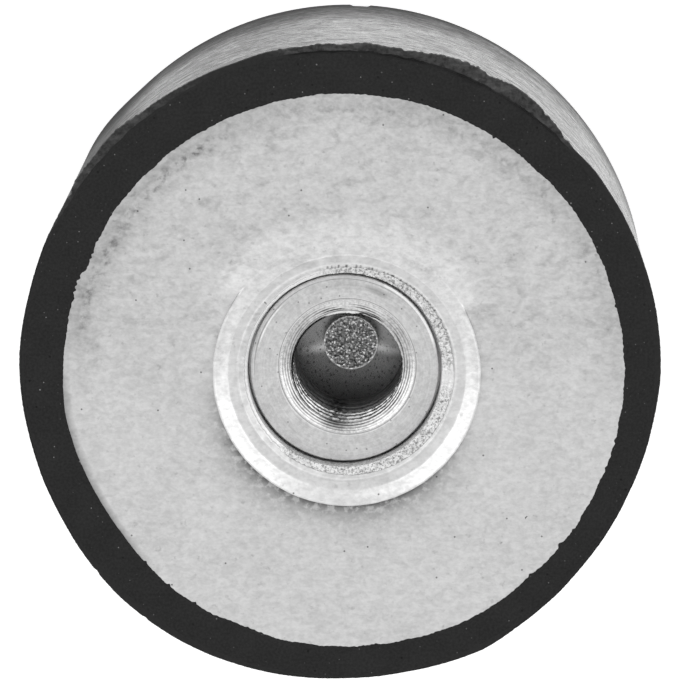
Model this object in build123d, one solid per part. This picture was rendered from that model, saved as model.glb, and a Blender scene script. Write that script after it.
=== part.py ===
from build123d import *
import os
from math import cos, radians, sin, tan

# Rubber buffer: a moulded rubber cylinder with one steel face plate and a blind threaded bush in it.
# Millimetres. The origin is on the thread's axis, level with the free rubber face that the buffer stands on.

# Rubber body
body_diameter = 40.0
body_height = 30.0
free_edge_radius = 0.8
face_edge_chamfer = 0.25

# Where the rubber's axis lies from the thread's axis, as moulded
body_offset_x = -0.50
body_offset_y = 0.35

# Flash lip round the rubber's plate end, trimmed with straight knife cuts
lip_thickness = 0.5
lip_drop = 0.15
lip_overhang = 0.84
# Each corner between two cuts: its angle in degrees from +X, and the share of the overhang that is left there
lip_corner_angles_and_shares = (
    (-4, 0.36),
    (15, 0.29),
    (34, 0.26),
    (50, 0.45),
    (57, 1.00),
    (73, 0.95),
    (90, 0.58),
    (112, 0.40),
    (134, 0.69),
    (154, 0.24),
    (176, 0.29),
    (190, 0.36),
    (206, 0.38),
    (222, 0.69),
    (240, 0.81),
    (258, 0.62),
    (276, 0.40),
    (295, 0.79),
    (314, 0.36),
    (335, 0.26),
)

# Face plate, with its pressed outer edge under the rubber
rubber_cover = 1.85
plate_thickness = 2.5
plate_edge_width = 0.5
plate_edge_drop = 0.25

# Collar pressed up round the plate's hole: hole wall, torn punched edge, shelf, dished band, crest and flank
seam_gap = 0.05
punched_edge_width = 0.55
shelf_width = 0.77
shelf_rise = 0.15
band_width = 0.93
band_rise = 0.35
band_rounding = 0.5
crest_rounding = 0.1
flank_width = 0.12

# Threaded bush, held by its flange behind the plate
spigot_diameter = 12.0
spigot_edge_chamfer = 0.12
bush_recess = 1.4
flange_overhang = 1.5
flange_thickness = 1.5
flange_edge_chamfer = 0.2
barrel_step = 0.2
barrel_end_chamfer = 1.0
barrel_floor = 1.8

# Blind bore for an M8 thread, drawn at the thread's minor diameter
bore_diameter = 6.9
mouth_diameter = 8.6
mouth_angle = 140.0
thread_depth = 9.0
floor_disc_diameter = 3.5
floor_cone_angle = 90.0

# Heights
face_z = body_height
plate_back_z = face_z - plate_thickness
bush_face_z = face_z - bush_recess
flange_back_z = plate_back_z - flange_thickness
lip_top_z = face_z - lip_drop
mouth_depth = (mouth_diameter - bore_diameter) / 2 / tan(radians(mouth_angle / 2))
cone_depth = (bore_diameter - floor_disc_diameter) / 2 / tan(radians(floor_cone_angle / 2))
bore_floor_z = bush_face_z - thread_depth - cone_depth
bush_end_z = bore_floor_z - barrel_floor

# Radii
body_radius = body_diameter / 2
plate_radius = body_radius - rubber_cover
plate_flat_radius = plate_radius - plate_edge_width
spigot_radius = spigot_diameter / 2
hole_radius = spigot_radius + seam_gap
shelf_radius = hole_radius + punched_edge_width
band_radius = shelf_radius + shelf_width
crest_radius = band_radius + band_width
foot_radius = crest_radius + flank_width
flange_radius = spigot_radius + flange_overhang
barrel_radius = spigot_radius - barrel_step
bore_radius = bore_diameter / 2
mouth_radius = mouth_diameter / 2
floor_disc_radius = floor_disc_diameter / 2


def turned(corners):
    """A solid of revolution about the thread's axis, from corners of radius, height and rounding."""
    points = [(radius, height) for radius, height, rounding in corners]
    roundings = [rounding for radius, height, rounding in corners]
    outline = FilletPolyline(*points, radius=roundings, close=True)
    return revolve(Plane.XZ * make_face(outline), Axis.Z)


def plate_edge():
    """The plate's pressed outer edge, from its flat face down to its back."""
    return [
        (plate_flat_radius, face_z, 0),
        (plate_radius, face_z - plate_edge_drop, 0),
        (plate_radius, plate_back_z, 0),
    ]


def bush_back():
    """The bush's outside behind the plate: the flange, the barrel and its closed end."""
    return [
        (flange_radius, plate_back_z, 0),
        (flange_radius, flange_back_z + flange_edge_chamfer, 0),
        (flange_radius - flange_edge_chamfer, flange_back_z, 0),
        (barrel_radius, flange_back_z, 0),
        (barrel_radius, bush_end_z + barrel_end_chamfer, 0),
        (barrel_radius - barrel_end_chamfer, bush_end_z, 0),
    ]


def make_plate():
    """The round plate with the collar that is pressed up round its punched hole."""
    shelf_z = face_z
    band_z = shelf_z + shelf_rise
    crest_z = band_z + band_rise
    collar = [
        (hole_radius, plate_back_z, 0),
        (hole_radius, bush_face_z, 0),
        (shelf_radius, shelf_z, 0),
        (band_radius, band_z, band_rounding),
        (crest_radius, crest_z, crest_rounding),
        (foot_radius, face_z, 0),
    ]
    return turned(collar + plate_edge())


def make_bush():
    """The bush: a spigot in the plate's hole, a flange and a barrel, with the blind bore in it."""
    outside = [
        (0, bush_face_z, 0),
        (spigot_radius - spigot_edge_chamfer, bush_face_z, 0),
        (spigot_radius, bush_face_z - spigot_edge_chamfer, 0),
        (spigot_radius, plate_back_z, 0),
    ]
    bore = [
        (0, bush_face_z, 0),
        (mouth_radius, bush_face_z, 0),
        (bore_radius, bush_face_z - mouth_depth, 0),
        (bore_radius, bush_face_z - thread_depth, 0),
        (floor_disc_radius, bore_floor_z, 0),
        (0, bore_floor_z, 0),
    ]
    return turned(outside + bush_back() + [(0, bush_end_z, 0)]) - turned(bore)


def make_insert_space():
    """What the plate and the bush take out of the rubber that is moulded round them."""
    plate_space = turned([(0, face_z, 0)] + plate_edge() + [(0, plate_back_z, 0)])
    bush_space = turned([(0, plate_back_z, 0)] + bush_back() + [(0, bush_end_z, 0)])
    return plate_space + bush_space


def make_lip():
    """The trimmed flash lip, as a slab with straight sides between its corners."""
    corners = []
    for angle, share in lip_corner_angles_and_shares:
        radius = body_radius + lip_overhang * share
        corners.append((radius * cos(radians(angle)), radius * sin(radians(angle))))
    outline = make_face(Polyline(*corners, close=True))
    return extrude(Pos(0, 0, lip_top_z - lip_thickness) * outline, lip_thickness)


def make_rubber():
    """The rubber body with its trimmed lip, round the space of the plate and the bush."""
    wall = Cylinder(body_radius, body_height, align=(Align.CENTER, Align.CENTER, Align.MIN))
    free_edge = wall.edges().filter_by(GeomType.CIRCLE).sort_by(Axis.Z)[0]
    wall = fillet(free_edge, free_edge_radius)
    face_edge = wall.edges().filter_by(GeomType.CIRCLE).sort_by(Axis.Z)[-1]
    wall = chamfer(face_edge, face_edge_chamfer)
    moulded = Pos(body_offset_x, body_offset_y, 0) * (wall + make_lip())
    return moulded - make_insert_space()


parts = {
    "rubber_body": make_rubber(),
    "face_plate": make_plate(),
    "threaded_bush": make_bush(),
}

os.makedirs("parts", exist_ok=True)
for node, shape in parts.items():
    export_step(shape, f"parts/{node}.step")
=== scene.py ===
import bmesh
import bpy
import numpy as np
from mathutils import Matrix, Vector, noise


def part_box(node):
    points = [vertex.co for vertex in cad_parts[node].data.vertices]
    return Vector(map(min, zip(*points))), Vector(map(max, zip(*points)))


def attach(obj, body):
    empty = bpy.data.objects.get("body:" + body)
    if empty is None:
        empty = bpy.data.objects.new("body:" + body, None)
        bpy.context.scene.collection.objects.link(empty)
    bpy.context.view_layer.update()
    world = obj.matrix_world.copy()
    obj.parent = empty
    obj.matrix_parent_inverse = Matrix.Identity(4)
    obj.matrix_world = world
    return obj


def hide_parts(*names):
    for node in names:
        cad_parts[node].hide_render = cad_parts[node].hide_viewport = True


# Rubber buffer: the finished surfaces of its rubber body, face plate and threaded bush.
# Lengths are in millimetres here, and become metres where a mesh, lamp or camera is made.
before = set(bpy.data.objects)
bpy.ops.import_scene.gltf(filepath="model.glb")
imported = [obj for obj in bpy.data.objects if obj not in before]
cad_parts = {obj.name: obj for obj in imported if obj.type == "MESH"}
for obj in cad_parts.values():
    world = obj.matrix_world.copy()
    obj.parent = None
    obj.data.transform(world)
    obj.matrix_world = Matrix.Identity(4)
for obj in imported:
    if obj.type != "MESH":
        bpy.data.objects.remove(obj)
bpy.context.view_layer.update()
MM = 0.001
BODY = "root"


def box_mm(node):
    """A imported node's lowest and highest corners, in millimetres."""
    low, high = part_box(node)
    return np.array(low) / MM, np.array(high) / MM


rubber_low, rubber_high = box_mm("rubber_body")
plate_low, plate_high = box_mm("face_plate")
bush_low, bush_high = box_mm("threaded_bush")

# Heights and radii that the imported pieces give
base_z = rubber_low[2]
face_z = rubber_high[2]
plate_back_z = plate_low[2]
crest_z = plate_high[2]
plate_radius = plate_high[0]
bush_face_z = bush_high[2]
bush_end_z = bush_low[2]
flange_radius = bush_high[0]

# Points round each piece, and the angle in degrees above which its edges are shaded sharp
rubber_columns = 1600
rubber_sharp_angle = 45
plate_columns = 1200
plate_sharp_angle = 40
bush_columns = 384
bush_sharp_angle = 43

# In the values below, a window is given by its middle and half width in degrees, and a span by its first
# and last angle and its soft ends in degrees. Where they have one more number, it is their size.
# A wave is given by its seed, the two numbers that its waves per turn lie between, and its size.

# Rubber body
body_radius = 20.0
body_centre = (-0.50, 0.35)
free_edge_radius = 0.8
base_ring_width = 4.0
base_bulge = (147, 14, 0.25)
base_notch = (87.8, 90.6, 0.5, 0.09)
dull_wall = (140, 200, 16, 1.0)
half_dull_wall = (106, 140, 14, 0.3)

# Trimmed flash lip, and the edge of the matt face inside it
lip_thickness = 0.5
lip_drop = 0.15
lip_least_drop = 0.05
lip_least_width = 0.08
torn_lip = ((50, 99, 6, 1.0), (119, 152, 5, 0.4), (127, 146, 4, 0.4))
lip_waves = ((11, 20, 60, 0.012), (12, 90, 500, 0.014))
crumb_size = 0.05
crumb_grain = 0.3
lip_crack = (50, 97, 5, 0.09)
crack_wave = (16, 5, 40, 0.35)
face_edge_inset = 0.06
face_edge_bite = (122, 149, 8, 0.15)
face_edge_wave = (13, 20, 120, 0.02)

# How far the trimmed flash lip stands out of the wall, at angles in degrees from +X
lip_stand_out = (
    (0, 0.20), (20, 0.21), (40, 0.25), (45, 0.14), (50, 0.40), (55, 0.74), (60, 0.84), (64, 0.72),
    (70, 0.80), (75, 0.60), (80, 0.43), (88, 0.45), (97, 0.32), (104, 0.35), (110, 0.24), (122, 0.25),
    (128, 0.23), (134, 0.48), (139, 0.28), (144, 0.27), (149, 0.04), (166, 0.00), (178, 0.14), (194, 0.03),
    (208, 0.06), (224, 0.28), (238, 0.29), (252, 0.17), (270, -0.01), (282, 0.02), (296, 0.26), (304, 0.08),
    (320, -0.07), (336, -0.07), (350, 0.05),
)
# Inner edge of the rubber film on the plate, at angles in degrees from +X
film_radius = (
    (0, 17.40), (20, 17.41), (34, 17.52), (44, 17.52), (48, 17.41), (54, 17.54), (75, 17.59), (100, 17.64),
    (125, 17.73), (146, 17.77), (156, 17.62), (161, 17.79), (176, 17.80), (188, 17.92), (196, 17.80),
    (206, 17.62), (216, 17.54), (232, 17.70), (240, 17.66), (246, 17.50), (258, 17.59), (276, 17.49),
    (300, 17.52), (311, 17.34), (326, 17.40), (336, 17.32), (350, 17.40),
)
film_waves = ((14, 12, 60, 0.018), (15, 60, 300, 0.012), (17, 200, 500, 0.006))
film_raggedness = ((184, 220, 8, -0.7), (152, 164, 3, 1.6))

# Windows where the lip's edge has small bites and the film has small tongues
lip_bites = (
    (79.8, 0.9, 0.12), (64.8, 0.8, 0.12), (53.0, 0.7, 0.08), (47.5, 0.9, 0.10), (90.5, 0.8, 0.05),
    (147.0, 1.2, 0.10), (219.0, 1.0, 0.06), (231.0, 0.7, 0.05),
)
film_tongues = (
    (58.5, 0.5, 0.16), (157.4, 1.0, 0.10), (165.0, 0.8, 0.10), (223.7, 0.5, 0.10), (230.5, 0.5, 0.12),
    (237.0, 0.4, 0.10), (249.0, 0.6, 0.10), (276.0, 0.5, 0.06), (312.0, 0.8, 0.12), (321.0, 1.2, 0.14),
    (325.0, 0.6, 0.10), (339.9, 0.7, 0.08), (346.0, 0.8, 0.10), (374.3, 0.6, 0.10),
)

# Plate: pressed outer edge, and the collar from its hole outwards
plate_edge_width = 0.22
plate_edge_drop = 0.25
plate_face_z = face_z - 0.02
hole_radius = 6.07
shelf_radius = 6.60
ridge_radius = 6.86
ridge_rise = 0.08
band_radius = 7.50
crest_radius = 8.39
crest_width = 0.07
foot_radius = 8.48
shelf_rise = 0.15
dish_depth = 0.03
skirt_width = 1.9

# Where the collar's rim is low, and where its flank is a gentle skirt or a steep step
rim_drop = 0.27
low_rim = (38, 132, 30)
gentle_flank = (34, 138, 16)
steep_flanks = ((128, 200, 16, 1.0), (-20, 44, 16, 1.0))
steepness = 0.7
knee_drop = 0.03

# Punched edge of the plate's hole: its slope ends at a share of its width, and falls off steeply there.
# It is torn on two sides, with a jagged boundary and a nick above it.
punched_slope = 0.13
slope_end = 0.9
punched_score_depth = 0.03
torn_sides = ((236, 345, 12, 1.0), (8, 98, 10, 1.0))
torn_relief = 0.045
fine_relief = 0.015
torn_grain = 0.17
hole_bulge = (280, 60, 0.04)
jagged_side = (24, 98, 10)
nick_place = (139, 0.6)
nick_depth = 0.03
torn_edge_wave = (21, 10, 120, 0.018)
band_wave = (22, 5, 40, 0.008)
crest_wave = (23, 5, 60, 0.006)
ridge_wave = (24, 5, 40, 0.008)
jagged_wave = (25, 30, 220, 0.6)

# Marks on the plate, and how far they reach from the film's edge or from the collar: painted shadow with
# grime under the collar's lower side, and painted sheen on its band and skirt, dimmer at the lower side
film_smear = (186, 218, 10, 1.0)
smear_width = 0.5
film_pits = ((124, 166, 10, 1.0), (40, 124, 12, 0.4))
pits_distance = 0.9
pits_width = 0.35
dimmer_sheen_below = (264, 42, 0.75)
shade_reach = 0.8
sheen_reach = 0.6

# Bush
spigot_radius = 5.95
spigot_edge = 0.06
barrel_radius = 5.8
barrel_end_chamfer = 1.0
flange_thickness = 1.5
flange_edge = 0.2
flange_back_z = plate_back_z - flange_thickness

# Marks on the bush's face: two stains, a scored ring, a painted highlight on its edge and a painted glint
# beside the edge
dark_stain = (70, 16, 0.9)
faint_stain = (90, 30, 0.3)
scored_ring = (62, 175, 15, 1.0)
scored_ring_depth = 0.02
edge_highlight_side = (20, 62, 10, 1.0)
edge_glint = (140, 160, 8, 0.9)

# Where the rings round the hole lie from the thread's axis, as pressed and as turned
shelf_centre = (0.09, 0.11)
ridge_centre = (0.0, 0.05)
seam_centre = (-0.18, 0.09)
mouth_centre = (0.0, 0.18)

# Turning grooves in the hole's mouth: their place from its outer edge inwards, as a share, and their depth
mouth_grooves = ((0.24, 0.012), (0.48, 0.022), (0.72, 0.030), (0.95, 0.034))
groove_width = 0.045
groove_wave = (31, 1, 5, 0.035)
mouth_ring_depth = 0.03

# Thread M8, its worn first turn, and the hole under it
pitch = 1.25
major_radius = 4.0
minor_radius = 3.45
mouth_radius = 4.27
lead_radius = 3.60
lead_depth = 0.25
full_crest_depth = 0.9
helix_depth = 0.95
thread_depth = 9.0
thread_end_gap = 0.3
thread_start = np.radians(204)
crest_edge = 0.012
chip_size = 0.03
chip_grain = 0.2
disc_radius = 1.75
disc_relief = 0.03
disc_grain = 0.14
bore_floor_z = bush_face_z - 10.7

# Torn sliver along the thread's first crest
burr_side = (58, 112, 8, 0.06)
burr_depth = 0.74
burr_width = 0.05

# Windows in which the hole's mouth and the thread's first turns carry a painted dark reflection
dark_reflection_mouth = (258, 22, 0.9)
dark_reflection_thread = (258, 20)

# Rows of points across one turn of the thread, in millimetres above the middle of its groove
turn_rows = (0.56, 0.41, 0.38, 0.24, 0.08, -0.08, -0.22, -0.30, -0.35, -0.385, -0.41, -0.50)

# Camera: where it stands from the point that it looks at, and its lens and sensor
camera_azimuth = 81.83
camera_elevation = 80.90
camera_distance = 349.69
camera_aim = (-0.433, 2.095)
camera_lens = 295.2
camera_sensor = 36

# Softboxes, all equally far from the plate: name, azimuth, elevation, size and brightness
lamp_distance = 700
lamps = (
    ("left_softbox", 152, 50, 640, 0.65),
    ("right_softbox", 28, 50, 640, 0.65),
    ("front_fill", 270, 38, 560, 0.3),
)
sky_brightness = 0.85
floor_reach = 3000
floor_tone = 0.9
floor_glow = 0.5


def between(first, second, share):
    """What lies a share of the way from the first value to the second one."""
    return first + (second - first) * share


def smooth_step(share):
    return share * share * (3 - 2 * share)


def wave(angle, seed, lowest, highest, size):
    """A closed random line round the piece, from waves of whole numbers per turn."""
    rng = np.random.default_rng(seed)
    counts = rng.integers(lowest, highest, 40)
    phases = rng.uniform(0, 2 * np.pi, 40)
    total = np.zeros_like(angle)
    for count, phase in zip(counts, phases):
        total += np.cos(count * angle + phase)
    return total * size / np.sqrt(20)


def away_from(angle, middle):
    """Degrees between each angle and a direction in degrees."""
    return np.abs((np.degrees(angle) - middle + 180) % 360 - 180)


def window(angle, middle, half_width):
    """One at an angle in degrees, falling smoothly to nought at half a width either side."""
    return np.cos(np.clip(away_from(angle, middle) / half_width, 0, 1) * np.pi / 2) ** 2


def span(angle, first, last, soft):
    """One between two angles in degrees, with soft ends, and nought elsewhere."""
    half = (last - first) / 2
    return np.clip((half + soft - away_from(angle, first + half)) / soft, 0, 1)


def waves(angle, *lines):
    """The sum of random lines from a table."""
    return sum(wave(angle, *line) for line in lines)


def windows(angle, *places):
    """The sum of windows from a table, each times its size."""
    return sum(size * window(angle, middle, half_width) for middle, half_width, size in places)


def spans(angle, *places):
    """The sum of spans from a table, each times its size."""
    return sum(size * span(angle, first, last, soft) for first, last, soft, size in places)


def round_the_turn(angle, knots):
    """A smooth closed line through knots of angle in degrees and value."""
    degrees = np.array([k[0] for k in knots], float)
    values = np.array([k[1] for k in knots], float)
    x = np.concatenate([degrees - 360, degrees, degrees + 360])
    y = np.concatenate([values, values, values])
    fine = np.arange(-90, 450, 0.25)
    line = np.interp(fine, x, y)
    kernel = np.hanning(13)
    line = np.convolve(line, kernel / kernel.sum(), "same")
    return np.interp(np.degrees(angle) % 360, fine, line)


def circle_reach(angle, centre, radius):
    """Distance from the thread's axis to a circle about another centre, in each direction."""
    along = centre[0] * np.cos(angle) + centre[1] * np.sin(angle)
    across = centre[0] * np.sin(angle) - centre[1] * np.cos(angle)
    return along + np.sqrt(radius ** 2 - across ** 2)


def relief(points, grain, seed):
    """Random relief of about -1 to 1 at each point, with grains of about the given size."""
    offset = Vector((seed * 17.3, seed * 5.7, seed * 11.9))
    return np.array([noise.fractal(Vector(p) / grain + offset, 1.0, 2.0, 3) for p in points])


class Rows:
    """Rows of points round the thread's axis, each given by radius and height along the same angles."""

    def __init__(self, columns):
        self.angle = np.arange(columns) * 2 * np.pi / columns
        self.points = []
        self.finish = []
        self.marks = []

    def place(self, radius, height):
        flat = radius * np.cos(self.angle), radius * np.sin(self.angle)
        return np.stack([*flat, np.broadcast_to(height, self.angle.shape)], 1)

    def add(self, radius, height, finish=0, mark=0.0, rough=0.0, grain=1.0):
        """One row. Rough is the size of its random relief, and mark is its wear, stain, painted shade or
        painted highlight.
        """
        if np.any(rough):
            smooth = self.place(radius, height)
            radius = radius + rough * relief(smooth, grain, 1)
            height = height + rough * relief(smooth, grain, 2)
        self.points.append(self.place(radius, height))
        self.finish.append(finish)
        self.marks.append(np.broadcast_to(mark, self.angle.shape))

    def grid(self):
        return np.array(self.points), self.finish, np.array(self.marks), 0


def quads(rows, columns, turn=0):
    """Faces of a closed grid. Its last column joins the first one, turn rows higher."""
    row, column = np.meshgrid(np.arange(rows - 1), np.arange(columns), indexing="ij")
    following = (column + 1) % columns
    step = np.where(column == columns - 1, turn, 0)
    near = np.maximum(row - step, 0) * columns + following
    far = np.maximum(row + 1 - step, 0) * columns + following
    return np.stack([row * columns + column, near, far, (row + 1) * columns + column], -1).reshape(-1, 4)


def make_piece(name, node, grids, materials, sharp_angle):
    """One closed mesh from grids of points whose edges meet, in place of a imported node."""
    points = []
    faces = []
    finishes = []
    marks = []
    count = 0
    for grid, finish, mark, turn in grids:
        rows, columns = grid.shape[:2]
        points.append(grid.reshape(-1, 3) * MM)
        faces.append(quads(rows, columns, turn) + count)
        finishes.append(np.repeat(finish[:-1], columns))
        marks.append(mark.ravel())
        count += rows * columns
    mesh = bpy.data.meshes.new(name)
    mesh.from_pydata(np.concatenate(points).tolist(), [], np.concatenate(faces).tolist())
    mesh.polygons.foreach_set("material_index", np.concatenate(finishes).astype(np.int32))
    mesh.attributes.new("mark", "FLOAT", "POINT").data.foreach_set("value", np.concatenate(marks))
    solid = bmesh.new()
    solid.from_mesh(mesh)
    bmesh.ops.remove_doubles(solid, verts=solid.verts, dist=1e-8)
    solid.to_mesh(mesh)
    solid.free()
    for material in materials:
        mesh.materials.append(material)
    mesh.polygons.foreach_set("use_smooth", np.ones(len(mesh.polygons), bool))
    mesh.set_sharp_from_angle(angle=np.radians(sharp_angle))
    piece = bpy.data.objects.new(name, mesh)
    bpy.context.scene.collection.objects.link(piece)
    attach(piece, BODY)
    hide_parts(node)
    return piece


# Shader helpers

def add(tree, kind, inputs=None, **settings):
    """One shader node, with its settings, and its inputs as values or as links."""
    made = tree.nodes.new(kind)
    for key, value in settings.items():
        setattr(made, key, value)
    for key, value in (inputs or {}).items():
        if isinstance(value, bpy.types.NodeSocket):
            tree.links.new(value, made.inputs[key])
        else:
            made.inputs[key].default_value = value
    return made


def calc(tree, operation, first, second, clamp=False):
    return add(tree, "ShaderNodeMath", {0: first, 1: second}, operation=operation, use_clamp=clamp).outputs[0]


def plus(tree, first, *others):
    """The sum of all the values."""
    for other in others:
        first = calc(tree, "ADD", first, other)
    return first


def times(tree, first, second):
    return calc(tree, "MULTIPLY", first, second)


def larger(tree, first, second):
    return calc(tree, "MAXIMUM", first, second)


def spread(tree, value, low, high, new_low, new_high):
    """Value from low to high as new_low to new_high, with soft ends and no overshoot."""
    inputs = {"Value": value, "From Min": low, "From Max": high, "To Min": new_low, "To Max": new_high}
    return add(tree, "ShaderNodeMapRange", inputs, interpolation_type="SMOOTHSTEP").outputs["Result"]


def vary(tree, value, new_low, new_high):
    """Nearly the whole range of a cloud as new_low to new_high."""
    return spread(tree, value, 0.3, 0.7, new_low, new_high)


def contrast(tree, value, new_low, new_high):
    """The middle of the range of a cloud as new_low to new_high."""
    return spread(tree, value, 0.35, 0.65, new_low, new_high)


def blend(tree, share, first, second):
    """From the first value to the second one, as share goes from nought to one."""
    return add(tree, "ShaderNodeMix", {0: share, 2: first, 3: second}).outputs[0]


def darken(tree, tone, share, left):
    """The tone, of which only the part left remains where share is one."""
    return times(tree, tone, blend(tree, share, 1.0, left))


def cloud(tree, place, grains_per_mm, detail=4.0, roughness=0.55, distortion=0.0):
    """Random clouds from nought to one, at about 0.5 for the most part."""
    shape = {"Detail": detail, "Roughness": roughness, "Distortion": distortion}
    inputs = {"Vector": place, "Scale": grains_per_mm, **shape}
    return add(tree, "ShaderNodeTexNoise", inputs).outputs["Fac"]


def specks(tree, place, per_mm, radius, share):
    """One inside small round specks seen from above, in a share of random cells, and nought outside."""
    cells = add(tree, "ShaderNodeTexVoronoi", {"Vector": place, "Scale": per_mm}, voronoi_dimensions="2D")
    chance = add(tree, "ShaderNodeSeparateColor", {"Color": cells.outputs["Color"]}).outputs[2]
    near = spread(tree, cells.outputs["Distance"], radius * per_mm * 0.6, radius * per_mm, 1.0, 0.0)
    return times(tree, calc(tree, "LESS_THAN", chance, share), near)


def stretch(tree, place, x, y, z):
    return add(tree, "ShaderNodeVectorMath", {0: place, 1: (x, y, z)}, operation="MULTIPLY").outputs[0]


def place_mm(tree):
    """The point on the piece, in millimetres of the part's own frame."""
    return stretch(tree, add(tree, "ShaderNodeTexCoord").outputs["Object"], 1 / MM, 1 / MM, 1 / MM)


def radius_mm(tree, place):
    flat = stretch(tree, place, 1, 1, 0)
    return add(tree, "ShaderNodeVectorMath", {0: flat}, operation="LENGTH").outputs["Value"]


def along(tree, place, axis):
    """How far a place lies along X, Y or Z."""
    return add(tree, "ShaderNodeSeparateXYZ", {0: place}).outputs[axis]


def mark(tree):
    """How worn or stained the piece is at the point, or darkened by painted shade, and below nought how
    burnished or brightened by a painted highlight.
    """
    return add(tree, "ShaderNodeAttribute", attribute_name="mark").outputs["Fac"]


def burnish_and_highlight(tree):
    """How burnished or brightened by a painted highlight the piece is at the point, from nought to one."""
    return calc(tree, "MULTIPLY", mark(tree), -1.0, clamp=True)


def new_material(name):
    material = bpy.data.materials.new(name)
    material.use_nodes = True
    tree = material.node_tree
    return material, tree, tree.nodes["Principled BSDF"]


def finish_material(tree, shader, tone, roughness, height, bump_mm, constants):
    """Colour, roughness and bump go to the shader, and the rest is set on its sockets."""
    colour = add(tree, "ShaderNodeCombineColor", {0: tone, 1: tone, 2: tone}).outputs[0]
    tree.links.new(colour, shader.inputs["Base Color"])
    tree.links.new(roughness, shader.inputs["Roughness"])
    bump = add(tree, "ShaderNodeBump", {"Height": height, "Distance": bump_mm * MM, "Strength": 1.0})
    tree.links.new(bump.outputs[0], shader.inputs["Normal"])
    for key, value in constants.items():
        shader.inputs[key].default_value = value


def plate_material():
    """Dull mottled zinc plating, with dark pits by the rubber, a burnished collar with a painted sheen and a
    painted light halo, and painted shadow under the collar's lower side.
    """
    material, tree, shader = new_material("zinc_plate")
    place = place_mm(tree)
    radius = radius_mm(tree, place)
    upper = spread(tree, along(tree, place, "Y"), -5.0, 5.0, 0.0, 1.0)
    burnish_and_sheen = burnish_and_highlight(tree)
    broad = cloud(tree, place, 0.2, detail=3.0)
    mottled = cloud(tree, stretch(tree, place, 0.9, 1.3, 1.0), 1.3, roughness=0.6, distortion=0.5)
    fine = cloud(tree, stretch(tree, place, 0.85, 1.2, 1.0), 3.4, detail=3.0, roughness=0.6)
    smudges = cloud(tree, stretch(tree, place, 0.8, 1.3, 1.0), 0.8, roughness=0.6, distortion=0.6)
    blots = cloud(tree, place, 1.9, detail=3.0, roughness=0.6)
    # Painted light halo on the plate round the collar, reaching further on the upper side
    skirt_end = plus(tree, foot_radius + 0.1, times(tree, upper, 2.6))
    tone = plus(
        tree,
        vary(tree, broad, 0.60, 0.64),
        spread(tree, mottled, 0.32, 0.68, -0.05, 0.04),
        vary(tree, fine, -0.045, 0.035),
        spread(tree, blots, 0.60, 0.76, 0.0, -0.14),
        times(tree, upper, spread(tree, smudges, 0.50, 0.70, 0.01, -0.09)),
        spread(tree, radius, skirt_end, crest_radius + 0.05, 0.0, 0.02),
        # Painted sheen, with some burnish, on the collar
        times(tree, burnish_and_sheen, contrast(tree, fine, 0.09, 0.14)),
        # Part of the painted halo: the upper side lighter next to the collar and darker out to 10 mm
        times(tree, upper, spread(tree, radius, 7.5, 10.0, 0.01, -0.04)),
        times(tree, upper, spread(tree, radius, 15.0, 17.2, 0.0, -0.09)),
    )
    patchy = spread(tree, blots, 0.36, 0.52, 0.45, 1.0)
    sparse = spread(tree, blots, 0.44, 0.66, 0.05, 0.65)
    patchy = blend(tree, spread(tree, radius, 11.0, 13.0, 0.0, 1.0), patchy, sparse)
    patchy = blend(tree, spread(tree, radius, 17.1, 17.3, 0.0, 1.0), patchy, 0.6)
    # Dark pits, smears and nicks, with painted shadow under the collar and painted shade dimming its glints
    stain_and_shade = times(tree, larger(tree, mark(tree), 0.0), patchy)
    tone = darken(tree, tone, stain_and_shade, 0.22)
    tone = darken(tree, tone, specks(tree, place, 0.5, 0.07, 0.16), 0.3)
    rough = plus(tree, vary(tree, mottled, 0.50, 0.42), times(tree, burnish_and_sheen, -0.14))
    height = plus(tree, mottled, times(tree, fine, 0.5))
    finish_material(tree, shader, tone, rough, height, 0.014, {"Metallic": 1.0})
    return material


def torn_material():
    """The punched edge, plated, smooth on one side and torn and full of small dark pits on the other."""
    material, tree, shader = new_material("zinc_torn")
    place = place_mm(tree)
    grain = cloud(tree, place, 7.0, detail=3.0, roughness=0.7)
    broad = cloud(tree, place, 1.5, detail=3.0, roughness=0.6)
    pitted = plus(tree, spread(tree, grain, 0.38, 0.54, 0.30, 0.72), vary(tree, broad, -0.08, 0.06))
    tone = blend(tree, mark(tree), vary(tree, grain, 0.70, 0.78), pitted)
    rough = vary(tree, grain, 0.45, 0.36)
    height = times(tree, grain, blend(tree, mark(tree), 0.15, 1.0))
    finish_material(tree, shader, tone, rough, height, 0.03, {"Metallic": 1.0})
    return material


def bush_material():
    """Zinc plating over turning marks."""
    material, tree, shader = new_material("zinc_bush")
    place = place_mm(tree)
    outwards = add(tree, "ShaderNodeCombineXYZ", {0: radius_mm(tree, place)}).outputs[0]
    fine = cloud(tree, place, 4.0, roughness=0.65)
    broad = cloud(tree, place, 0.6, detail=3.0)
    rings = cloud(tree, outwards, 9.0, detail=3.0, roughness=0.7)
    tone = plus(
        tree,
        contrast(tree, fine, 0.56, 0.67),
        vary(tree, broad, -0.03, 0.03),
        contrast(tree, rings, -0.04, 0.04),
    )
    # The mark darkens stains, the scored ring and the painted shade in the mouth's ring, and below nought
    # adds a painted highlight and glint
    tone = darken(tree, tone, mark(tree), 0.5)
    tone = plus(tree, tone, times(tree, burnish_and_highlight(tree), 0.36))
    tone = darken(tree, tone, specks(tree, place, 1.1, 0.06, 0.35), 0.45)
    rough = vary(tree, fine, 0.30, 0.40)
    height = plus(tree, times(tree, rings, 0.9), times(tree, fine, 0.6))
    finish_material(tree, shader, tone, rough, height, 0.012, {"Metallic": 1.0})
    return material


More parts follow.
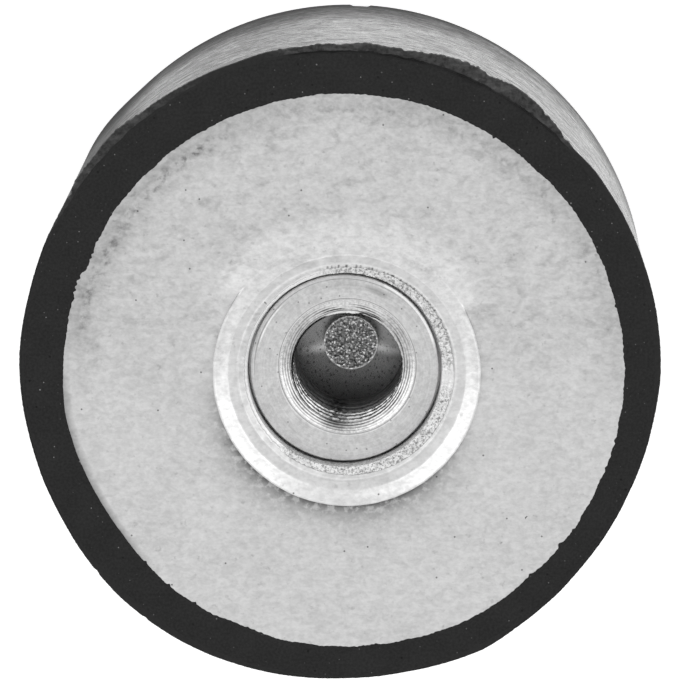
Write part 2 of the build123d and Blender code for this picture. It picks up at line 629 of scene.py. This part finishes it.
def hole_material():
    """Smooth plating of the thread, darkened deeper in the hole by painted shade."""
    material, tree, shader = new_material("zinc_hole")
    place = place_mm(tree)
    fine = cloud(tree, place, 5.0, detail=3.0, roughness=0.6)
    # Painted shade deeper in the hole, where it is also rougher
    lit_depth = spread(tree, along(tree, place, "Z"), bush_face_z - 5.0, bush_face_z - 4.0, 0.0, 1.0)
    tone = times(tree, contrast(tree, fine, 0.58, 0.78), blend(tree, lit_depth, 0.3, 1.0))
    # The mark adds painted shade in the grooves and on the mouth's upper side, and a painted dark reflection
    # at its lower side
    tone = darken(tree, tone, mark(tree), 0.12)
    rough = blend(tree, lit_depth, 0.5, vary(tree, fine, 0.14, 0.22))
    finish_material(tree, shader, tone, rough, fine, 0.004, {"Metallic": 1.0})
    return material


def cone_material():
    """Bright cone at the hole's end, with dark spots and painted shade on its -Y side."""
    material, tree, shader = new_material("zinc_cone")
    place = place_mm(tree)
    side = along(tree, place, "Y")
    fine = cloud(tree, place, 5.0, detail=3.0, roughness=0.6)
    spots = larger(tree, specks(tree, place, 3.0, 0.08, 0.25), specks(tree, place, 5.0, 0.06, 0.25))
    tone = darken(tree, vary(tree, fine, 0.86, 0.96), spots, 0.5)
    # Painted shade on the -Y side
    tone = times(tree, tone, spread(tree, side, -0.8, -0.1, 0.34, 1.0))
    rough = plus(tree, vary(tree, fine, 0.13, 0.17), spread(tree, side, -0.8, -0.1, 0.10, 0.0))
    finish_material(tree, shader, tone, rough, fine, 0.001, {"Metallic": 1.0})
    return material


def disc_material():
    """Granular floor of the hole, with a paler rim."""
    material, tree, shader = new_material("zinc_disc")
    place = place_mm(tree)
    grain = cloud(tree, place, 6.0, detail=2.0, roughness=0.5)
    dots = add(tree, "ShaderNodeTexVoronoi", {"Vector": place, "Scale": 5.5}).outputs["Distance"]
    tone = plus(tree, spread(tree, dots, 0.15, 0.6, 0.92, 0.40), contrast(tree, grain, -0.18, 0.15))
    tone = blend(tree, mark(tree), tone, 0.85)
    rough = spread(tree, dots, 0.2, 0.6, 0.25, 0.45)
    finish_material(tree, shader, tone, rough, dots, 0.02, {"Metallic": 1.0})
    return material


def face_material():
    """Matt black rubber with tiny pits and pale specks."""
    material, tree, shader = new_material("rubber_face")
    place = place_mm(tree)
    fine = cloud(tree, place, 6.0, detail=3.0, roughness=0.6)
    broad = cloud(tree, place, 0.5, detail=3.0)
    dust = plus(tree, specks(tree, place, 1.9, 0.045, 0.16), specks(tree, place, 0.5, 0.06, 0.15))
    tone = plus(
        tree,
        vary(tree, fine, 0.016, 0.022),
        vary(tree, broad, -0.0015, 0.0015),
        times(tree, dust, spread(tree, broad, 0.45, 0.65, 0.02, 0.17)),
    )
    tone = darken(tree, tone, specks(tree, place, 0.7, 0.09, 0.2), 0.5)
    rough = vary(tree, fine, 0.85, 0.7)
    finish_material(tree, shader, tone, rough, fine, 0.015, {"Specular IOR Level": 0.12})
    return material


def lip_material():
    """Rubber of the flash lip, paler and crumbly where the flash was torn off."""
    material, tree, shader = new_material("rubber_lip")
    place = place_mm(tree)
    torn = mark(tree)
    fine = cloud(tree, place, 3.5, roughness=0.65)
    streaks = cloud(tree, stretch(tree, place, 0.5, 1.2, 1.2), 1.5, roughness=0.6)
    pale = plus(tree, vary(tree, fine, 0.012, 0.045), spread(tree, streaks, 0.45, 0.7, 0.0, 0.03))
    tone = blend(tree, torn, vary(tree, fine, 0.014, 0.019), pale)
    rough = blend(tree, torn, 0.75, 0.55)
    finish_material(tree, shader, tone, rough, fine, 0.04, {"Specular IOR Level": 0.2})
    return material


def wall_material():
    """Semi-gloss black rubber with streaks round the wall, duller towards the free end."""
    material, tree, shader = new_material("rubber_wall")
    place = place_mm(tree)
    height = along(tree, place, "Z")
    side = along(tree, place, "X")
    fine = cloud(tree, place, 3.0, roughness=0.6)
    streaks = cloud(tree, stretch(tree, place, 0.6, 0.6, 2.4), 1.0, detail=5.0, roughness=0.7)
    tone = vary(tree, fine, 0.012, 0.02)
    rough = plus(
        tree,
        contrast(tree, streaks, 0.09, 0.33),
        vary(tree, fine, -0.05, 0.10),
        times(tree, spread(tree, side, 2.0, 13.0, 1.0, 0.4), spread(tree, height, 0.0, 14.0, 0.45, 0.0)),
        spread(tree, height, 0.6, 3.0, 0.3, 0.0),
        times(tree, mark(tree), 0.4),
    )
    bumps = plus(tree, streaks, times(tree, fine, 0.4))
    finish_material(tree, shader, tone, rough, bumps, 0.014, {"IOR": 1.42})
    return material


def plate_top(radius):
    """Height of the plate's upper side near its pressed outer edge."""
    share = np.clip((radius - plate_radius + plate_edge_width) / plate_edge_width, 0, 1)
    return plate_face_z - (plate_edge_drop + plate_face_z - face_z) * share


def film_edge(angle):
    """Radius of the film's ragged inner edge."""
    ragged = waves(angle, *film_waves) * (1 + spans(angle, *film_raggedness))
    return round_the_turn(angle, film_radius) + ragged - windows(angle, *film_tongues)


def add_bush_back(rows, finish):
    """Rows along the bush's outside behind the plate, from its closed end up to the plate's back."""
    rows.add(0, bush_end_z, finish)
    rows.add(barrel_radius - barrel_end_chamfer, bush_end_z, finish)
    rows.add(barrel_radius, bush_end_z + barrel_end_chamfer, finish)
    rows.add(barrel_radius, flange_back_z, finish)
    rows.add(flange_radius - flange_edge, flange_back_z, finish)
    rows.add(flange_radius, flange_back_z + flange_edge, finish)
    rows.add(flange_radius, plate_back_z, finish)


def make_rubber():
    """Moulded body, trimmed flash lip, matt end face and the ragged film on the plate."""
    matt, satin, lip_finish = 0, 1, 2
    rows = Rows(rubber_columns)
    angle = rows.angle
    wall = circle_reach(angle, body_centre, body_radius)
    base_wall = wall + windows(angle, base_bulge)
    base_edge = base_wall - spans(angle, base_notch) - free_edge_radius
    dull = np.maximum(spans(angle, dull_wall), spans(angle, half_dull_wall))
    torn = spans(angle, *torn_lip)
    crumbs = crumb_size * torn
    lip = circle_reach(angle, body_centre, body_radius + round_the_turn(angle, lip_stand_out))
    raggedness = 0.3 + 0.8 * torn
    lip = lip + raggedness * waves(angle, *lip_waves) - windows(angle, *lip_bites)
    lip_top = face_z - lip_least_drop - (lip_drop - lip_least_drop) * torn
    lip_bottom = face_z - lip_drop - lip_thickness
    upper_wall = np.minimum(wall, lip - 0.02)
    face_edge = circle_reach(angle, body_centre, body_radius - face_edge_inset) + wave(angle, *face_edge_wave)
    face_edge = np.minimum(face_edge - spans(angle, face_edge_bite), lip - lip_least_width)
    film = film_edge(angle)
    crack = spans(angle, lip_crack) * np.clip(0.9 + wave(angle, *crack_wave), 0.2, 1.2)

    # Free end and wall
    rows.add(0, base_z, matt)
    rows.add(base_wall - free_edge_radius - base_ring_width, base_z, matt, dull)
    for turn in np.linspace(0, 90, 6):
        out = free_edge_radius * np.sin(np.radians(turn))
        up = free_edge_radius * (1 - np.cos(np.radians(turn)))
        rows.add(base_edge + out, base_z + up, matt if turn < 90 else satin, dull)
    for share in (0.05, 0.2, 0.4, 0.6, 0.8, 0.96):
        height = between(base_z + free_edge_radius, lip_bottom, share)
        rows.add(between(base_wall, wall, share), height, satin, dull)
    rows.add(upper_wall, lip_bottom - 0.4, satin, dull)
    rows.add(upper_wall, lip_bottom - 0.1, satin, dull)

    # Flash lip, from its lower side round its edge to the crack along the face
    lip_edge = (
        (0.10, lip_bottom),
        (0.02, lip_bottom + 0.08),
        (0.0, (lip_top + lip_bottom) / 2),
        (0.015, lip_top - 0.10),
        (0.045, lip_top - 0.03),
    )
    for inset, height in lip_edge:
        rows.add(lip - inset, height, lip_finish, torn, crumbs, crumb_grain)
    for share in np.linspace(0.0, 0.88, 7):
        radius = between(lip - lip_least_width, face_edge, share)
        rows.add(radius, lip_top, lip_finish, torn, crumbs, crumb_grain)
    rows.add(face_edge + 0.02, lip_top - crack, lip_finish)
    rows.add(face_edge - 0.04, lip_top - crack, lip_finish)

    # Matt face, and the film's edge on the plate
    for inset, drop, share in ((0.12, 0.05, 0.7), (0.22, 0.02, 0.3), (0.34, 0.01, 0.0)):
        rows.add(face_edge - inset, face_z - drop - share * crack, matt)
    for share in np.linspace(0, 1, 7):
        rows.add(between(face_edge - 0.4, film + 0.12, share), face_z, matt)
    rows.add(film + 0.04, face_z - 0.004, matt)
    rows.add(film, (face_z + plate_top(film)) / 2, matt)
    rows.add(film + 0.005, plate_top(film + 0.005), matt)
    slope_start = np.maximum(film + 0.01, plate_radius - plate_edge_width)
    rows.add(slope_start, plate_top(slope_start), matt)

    # Space of the plate and of the bush
    rows.add(plate_radius, face_z - plate_edge_drop, matt)
    rows.add(plate_radius, plate_back_z, matt)
    back = Rows(rubber_columns)
    add_bush_back(back, matt)
    rows.points += back.points[::-1]
    rows.finish += back.finish
    rows.marks += back.marks
    grids = [rows.grid()]
    materials = [face_material(), wall_material(), lip_material()]
    return make_piece("buffer_rubber", "rubber_body", grids, materials, rubber_sharp_angle)


def make_plate():
    """Pressed plate: its collar, the torn punched edge of its hole, and its flat mottled face."""
    smooth, torn = 0, 1
    rows = Rows(plate_columns)
    angle = rows.angle
    film = film_edge(angle)
    smear = spans(angle, film_smear)
    pitted = spans(angle, *film_pits)
    # Painted shadow, with grime, on the plate under the collar's lower side
    shaded_below = np.clip(-1.5 * np.sin(angle + np.radians(12)) - 0.2, 0, 1)
    # Painted sheen, with some burnish, on the collar, dimmer at its lower side
    burnish_and_sheen = -1 + windows(angle, dimmer_sheen_below)
    hole = circle_reach(angle, seam_centre, hole_radius) - windows(angle, hole_bulge)
    shelf = circle_reach(angle, shelf_centre, shelf_radius)
    shelf_z = face_z + shelf_rise
    torn_edge = shelf + wave(angle, *torn_edge_wave)
    ridge = circle_reach(angle, ridge_centre, ridge_radius) + wave(angle, *ridge_wave)
    band = band_radius + wave(angle, *band_wave)
    crest = crest_radius + wave(angle, *crest_wave)
    rim_z = crest_z - rim_drop * smooth_step(span(angle, *low_rim))
    gentle = smooth_step(span(angle, *gentle_flank))
    upright = (1 - gentle) * smooth_step(spans(angle, *steep_flanks))
    knee = crest + (foot_radius - crest_radius) * (1 - steepness * upright)
    knee_z = between(plate_face_z, rim_z - knee_drop, gentle)
    # Painted shade that dims the glints where the flank turns from steep to gentle
    painted_horn_dimming = 4 * gentle * (1 - gentle)
    torn_part = spans(angle, *torn_sides)
    fall_start = slope_end - 0.22 * np.clip(1.3 * np.sin(angle), 0, 1)
    nick = window(angle, *nick_place)
    jagged = span(angle, *jagged_side) * np.clip(0.15 + wave(angle, *jagged_wave), 0, 1)

    # Outer edge and flat face, with the marks beside the film
    rows.add(plate_radius, plate_back_z)
    rows.add(plate_radius, face_z - plate_edge_drop)
    rows.add(plate_radius - plate_edge_width, plate_face_z)
    for inward in (0.02, 0.1, 0.18, 0.26, 0.34, 0.42, 0.5, 0.65, 0.8, 1.0, 1.25, 1.6, 2.1, 2.7):
        smeared = np.clip(1 - inward / smear_width, 0, 1) * smear
        pits = 0.9 * np.exp(-((inward - pits_distance) / pits_width) ** 2) + 0.1 * np.exp(-inward / 0.9)
        rows.add(film - inward, plate_face_z, smooth, smeared + pits * pitted)
    # Plate face outside the collar, with painted shadow on its lower side
    for out in (6.1, 4.3, 3.2, 2.5):
        rows.add(knee + out, plate_face_z, smooth, shaded_below * np.exp(-out / shade_reach))

    # Collar: its skirt, flank, crest and dished band
    # The skirt carries the painted shadow below and the painted sheen above
    for share in np.linspace(0, 0.98, 12):
        out = skirt_width * (1 - share)
        height = between(plate_face_z, knee_z, smooth_step(share))
        shade = shaded_below * np.exp(-out / shade_reach) + burnish_and_sheen * gentle * np.exp(-out / sheen_reach)
        rows.add(knee + out, height, smooth, shade)
    # The flank and crest carry painted shadow, painted sheen and the painted dimming of glints
    for share in np.linspace(0, 0.8, 4):
        height = between(knee_z, rim_z - knee_drop, share)
        shade = shaded_below * (1 - share) + burnish_and_sheen * gentle + 0.4 * painted_horn_dimming
        rows.add(between(knee, crest, 0.67 * share), height, smooth, shade)
    rows.add(crest + 0.01, rim_z - 0.025, smooth, burnish_and_sheen + 0.9 * painted_horn_dimming)
    rows.add(crest - crest_width, rim_z - 0.02, smooth, burnish_and_sheen + 0.5 * painted_horn_dimming)
    # The dished band carries the painted sheen
    for share in np.linspace(0.12, 0.94, 8):
        dish = dish_depth * np.sin(share * np.pi) * (1 - 0.8 * gentle)
        height = between(rim_z - 0.02, shelf_z, share) - dish
        rows.add(between(crest - crest_width, band, share), height, smooth, burnish_and_sheen)
    rows.add(band, shelf_z - 0.01, smooth, burnish_and_sheen)

    # Shelf and the ridge on it
    rows.add(band - 0.06, shelf_z - 0.035)
    rows.add(band - 0.16, shelf_z - 0.04)
    rows.add(ridge + 0.18, face_z + 0.065)
    rows.add(ridge + 0.08, face_z + 0.055)
    # The ridge's top gets a painted highlight; the nick and the jagged spots beside it are dark marks
    rows.add(ridge + 0.02, face_z + ridge_rise, smooth, -0.5)
    rows.add(ridge - 0.04, face_z + ridge_rise, smooth, 1.5 * nick - 0.5 + 1.3 * jagged)
    rows.add(ridge - 0.10, face_z + 0.03 - nick_depth * nick, smooth, nick + jagged)
    rows.add(shelf + 0.05, face_z + 0.01 - nick_depth * nick, smooth, nick + jagged)

    # Punched edge, down to the bush's face, and the hole's wall
    for share in np.linspace(0, 0.98, 24):
        scored = punched_score_depth * np.exp(-((share - 0.3) / 0.07) ** 2) * (1 - torn_part)
        sloping = -punched_slope * min(share / slope_end, 1) - scored
        falling = np.clip((share - fall_start) / (0.98 - fall_start), 0, 1)
        height = plate_face_z + sloping + (bush_face_z - face_z + punched_slope) * falling
        rough = (torn_relief if share < 0.85 else fine_relief) * (0.1 + 0.9 * torn_part)
        rows.add(between(torn_edge, hole, share), height, torn, torn_part, rough, torn_grain)
    rows.add(hole, bush_face_z - 0.1, torn, torn_part)
    rows.add(hole, plate_back_z)
    rows.add(plate_radius, plate_back_z)
    grids = [rows.grid()]
    materials = [plate_material(), torn_material()]
    return make_piece("buffer_plate", "face_plate", grids, materials, plate_sharp_angle)


def crest_line(angle, depth):
    """Radius of the thread's crests at a depth under the bush's face, worn in the first turns."""
    lead = circle_reach(angle, mouth_centre, lead_radius)
    share = np.clip((depth - lead_depth) / (full_crest_depth - lead_depth), 0, 1)
    return between(lead, minor_radius, share)


def thread_cut(angle, depth):
    """How deep the thread is cut behind its minor radius, with softly rounded crests."""
    turns = -depth / pitch - (angle - thread_start) / (2 * np.pi)
    from_root = np.abs(turns - np.round(turns)) * pitch
    cut = major_radius - minor_radius - np.maximum(from_root - pitch / 16, 0) * np.sqrt(3)
    cut = crest_edge * np.logaddexp(0, cut / crest_edge)
    return cut * np.clip((thread_depth - depth - thread_end_gap) / (2 * pitch), 0, 1)


def burr(angle, depth):
    """How far the torn sliver along the first crest stands out of the thread's upper side."""
    wavy = burr_depth + 0.03 * np.sin(9 * angle) + 0.02 * np.sin(23 * angle)
    return spans(angle, burr_side) * np.exp(-((depth - wavy) / burr_width) ** 2)


def groove_shade(angle, depth):
    """One in the thread's grooves, which get painted shade, and nought on its crests."""
    return np.clip((thread_cut(angle, depth) - 0.16) / 0.10, 0, 1)


def thread_radius(angle, height):
    """Radius of the tapped wall at each angle and height."""
    depth = bush_face_z - height
    return np.maximum(minor_radius + thread_cut(angle, depth), crest_line(angle, depth)) - burr(angle, depth)


def thread_grid(columns, top, bottom):
    """The tapped wall between two heights, in rows that follow the helix and end level."""
    turns = int((top - bottom) / pitch) + 4
    angle = np.arange(columns) * 2 * np.pi / columns
    highest = bush_face_z - pitch * thread_start / (2 * np.pi)
    start = (highest - pitch * np.arange(turns)[:, None] + np.array(turn_rows)).ravel()
    height = np.clip(start[:, None] + pitch * angle[None, :] / (2 * np.pi), bottom, top)
    angle = np.broadcast_to(angle, height.shape)
    radius = thread_radius(angle, height)
    points = np.stack([radius * np.cos(angle), radius * np.sin(angle), height], -1)
    chipped = relief(points.reshape(-1, 3), chip_grain, 3).reshape(height.shape)
    inside = np.clip((top - height) / 0.1, 0, 1) * np.clip((height - bottom) / 0.8, 0, 1)
    radius = radius + chip_size * chipped * inside
    points = np.stack([radius * np.cos(angle), radius * np.sin(angle), height], -1)
    # Painted dark reflection in flecks on the first turns at the lower side
    dark_reflection_flecks = np.clip(0.7 + 1.5 * chipped, 0, 1) * window(angle, *dark_reflection_thread)
    dark = np.maximum(groove_shade(angle, bush_face_z - height), dark_reflection_flecks)
    return points, [1] * len(start), dark, len(turn_rows)


def make_bush():
    """Turned bush with its tapped blind hole and the granular disc at the hole's floor."""
    turned, hole, cone, granular = 0, 1, 2, 3
    outside = Rows(bush_columns)
    angle = outside.angle
    spigot = circle_reach(angle, seam_centre, spigot_radius)
    edge = spigot - spigot_edge
    mouth = circle_reach(angle, mouth_centre, mouth_radius)
    lead = circle_reach(angle, mouth_centre, lead_radius)
    stain = np.maximum(windows(angle, dark_stain), windows(angle, faint_stain))
    scored = spans(angle, scored_ring)
    # Painted highlight along the bush's edge, and a painted glint beside it
    edge_highlight = -spans(angle, edge_highlight_side)
    glint = -spans(angle, edge_glint)

    # Outside and face
    add_bush_back(outside, turned)
    outside.add(spigot, plate_back_z)
    outside.add(spigot, bush_face_z - spigot_edge)
    # The edge carries the painted highlight
    outside.add(edge, bush_face_z, turned, edge_highlight)
    outside.add(edge - 0.12, bush_face_z, turned, edge_highlight)
    outside.add(edge - 0.15, bush_face_z)
    outside.add(edge - 0.20, bush_face_z - scored_ring_depth * scored, turned, 0.7 * scored)
    outside.add(edge - 0.25, bush_face_z)
    outside.add(edge - 0.29, bush_face_z, turned, glint)
    outside.add(edge - 0.33, bush_face_z, turned, glint)
    for share in np.linspace(0.1, 0.92, 10):
        near = max(0.0, 1 - abs(share - 0.3) / 0.25)
        outside.add(between(edge - 0.25, mouth + 0.12, share), bush_face_z, turned, stain * near)
    outside.add(mouth + 0.12, bush_face_z)
    # Painted shade in the mouth's turned ring
    outside.add(mouth + 0.07, bush_face_z - mouth_ring_depth, turned, 0.9)
    outside.add(mouth + 0.02, bush_face_z)

    # Turned mouth, and the level rows down to where the thread's rows follow its helix
    # Painted dark reflection at the mouth's lower side
    dark_reflection = windows(angle, dark_reflection_mouth)
    sway = wave(angle, *groove_wave)
    lower = np.clip(0.6 - np.sin(angle), 0, 1)
    for share in np.linspace(0.0, 1, 34):
        groove = np.zeros_like(angle)
        for middle, cut in mouth_grooves:
            uneven = np.clip(0.5 + 0.5 * lower + wave(angle, round(100 * middle), 2, 12, 0.25), 0.1, 1.3)
            groove = groove + uneven * cut * np.exp(-((share + sway - middle) / groove_width) ** 2)
        height = bush_face_z - lead_depth * share ** 1.3 - groove
        # Painted shade in the turned grooves and on the mouth's upper side, with the painted dark reflection
        dark = np.clip(dark_reflection * share + groove / 0.035 + 0.16 * (1 - lower), 0, 1)
        chips = 0.001 + 0.012 * share ** 3
        outside.add(between(mouth, lead, share), height, hole, dark, chips, 0.15)
    for depth in np.linspace(lead_depth + 0.02, helix_depth, 24):
        # Painted shade in the thread's grooves, with the painted dark reflection
        dark = np.maximum(groove_shade(angle, depth), dark_reflection)
        outside.add(thread_radius(angle, bush_face_z - depth), bush_face_z - depth, hole, dark)

    # Cone and granular disc under the thread
    cone_top = bush_face_z - thread_depth
    floor = Rows(bush_columns)
    for share in np.linspace(0, 1, 8):
        height = between(cone_top, bore_floor_z, share)
        floor.add(between(minor_radius, disc_radius, share), height, cone)
    floor.finish[-1] = granular
    floor.add(disc_radius - 0.01, bore_floor_z + 0.01, granular, 1.0)
    floor.add(disc_radius - 0.07, bore_floor_z + 0.01, granular, 1.0)
    for share in np.linspace(0.94, 0.02, 34):
        cast = disc_relief * relief(floor.place(disc_radius * share, bore_floor_z), disc_grain, 4)
        floor.add(disc_radius * share, bore_floor_z + cast, granular)
    floor.add(0, bore_floor_z, granular)
    thread = thread_grid(bush_columns, bush_face_z - helix_depth, cone_top)
    materials = [bush_material(), hole_material(), cone_material(), disc_material()]
    grids = [outside.grid(), thread, floor.grid()]
    return make_piece("buffer_bush", "threaded_bush", grids, materials, bush_sharp_angle)


def direction(azimuth, elevation):
    """Direction of an azimuth from +X and an elevation, both in degrees."""
    across = np.cos(np.radians(elevation))
    up = np.sin(np.radians(elevation))
    return Vector((across * np.cos(np.radians(azimuth)), across * np.sin(np.radians(azimuth)), up))


def add_lamp(name, azimuth, elevation, size, radiance):
    """A square softbox of a brightness, that shines at the plate from its direction in degrees."""
    towards = direction(azimuth, elevation)
    data = bpy.data.lights.new(name, "AREA")
    data.energy = radiance * np.pi * (size * MM) ** 2
    data.size = size * MM
    lamp = bpy.data.objects.new(name, data)
    lamp.location = Vector((0, 0, face_z * MM)) + towards * lamp_distance * MM
    lamp.rotation_mode = "QUATERNION"
    lamp.rotation_quaternion = (-towards).to_track_quat("-Z", "Y")
    bpy.context.scene.collection.objects.link(lamp)


def make_floor():
    """Pale floor that the buffer stands on, which glows where the camera or a reflection sees it."""
    mesh = bpy.data.meshes.new("floor")
    reach = floor_reach * MM
    corners = [(-reach, -reach, 0), (reach, -reach, 0), (reach, reach, 0), (-reach, reach, 0)]
    mesh.from_pydata(corners, [], [(0, 1, 2, 3)])
    floor = bpy.data.objects.new("floor", mesh)
    bpy.context.scene.collection.objects.link(floor)
    material, tree, shader = new_material("pale_floor")
    shader.inputs["Base Color"].default_value = (floor_tone, floor_tone, floor_tone, 1)
    shader.inputs["Roughness"].default_value = 0.9
    shader.inputs["Specular IOR Level"].default_value = 0.1
    path = add(tree, "ShaderNodeLightPath")
    seen = larger(tree, path.outputs["Is Camera Ray"], path.outputs["Is Glossy Ray"])
    seen = larger(tree, seen, path.outputs["Is Transmission Ray"])
    tree.links.new(times(tree, seen, floor_glow), shader.inputs["Emission Strength"])
    shader.inputs["Emission Color"].default_value = (1, 1, 1, 1)
    mesh.materials.append(material)


def make_world():
    world = bpy.data.worlds.new("studio")
    world.use_nodes = True
    world.node_tree.nodes["Background"].inputs["Color"].default_value = (1, 1, 1, 1)
    world.node_tree.nodes["Background"].inputs["Strength"].default_value = sky_brightness
    bpy.context.scene.world = world


def make_camera():
    """Camera that looks down at the plate, with +Y upwards in the picture."""
    back = direction(camera_azimuth, camera_elevation)
    right = Vector((0, 1, 0)).cross(back).normalized()
    up = back.cross(right)
    data = bpy.data.cameras.new("camera")
    data.lens = camera_lens
    data.sensor_width = camera_sensor
    data.clip_start = 0.01
    data.clip_end = 20
    camera = bpy.data.objects.new("camera", data)
    aim = Vector((camera_aim[0], camera_aim[1], face_z)) * MM
    turned = Matrix((right, up, back)).transposed().to_4x4()
    camera.matrix_world = Matrix.Translation(aim + back * camera_distance * MM) @ turned
    bpy.context.scene.collection.objects.link(camera)
    bpy.context.scene.camera = camera


make_rubber()
make_plate()
make_bush()
make_floor()
make_world()
for lamp_values in lamps:
    add_lamp(*lamp_values)
make_camera()
bpy.context.scene.view_settings.view_transform = "Standard"
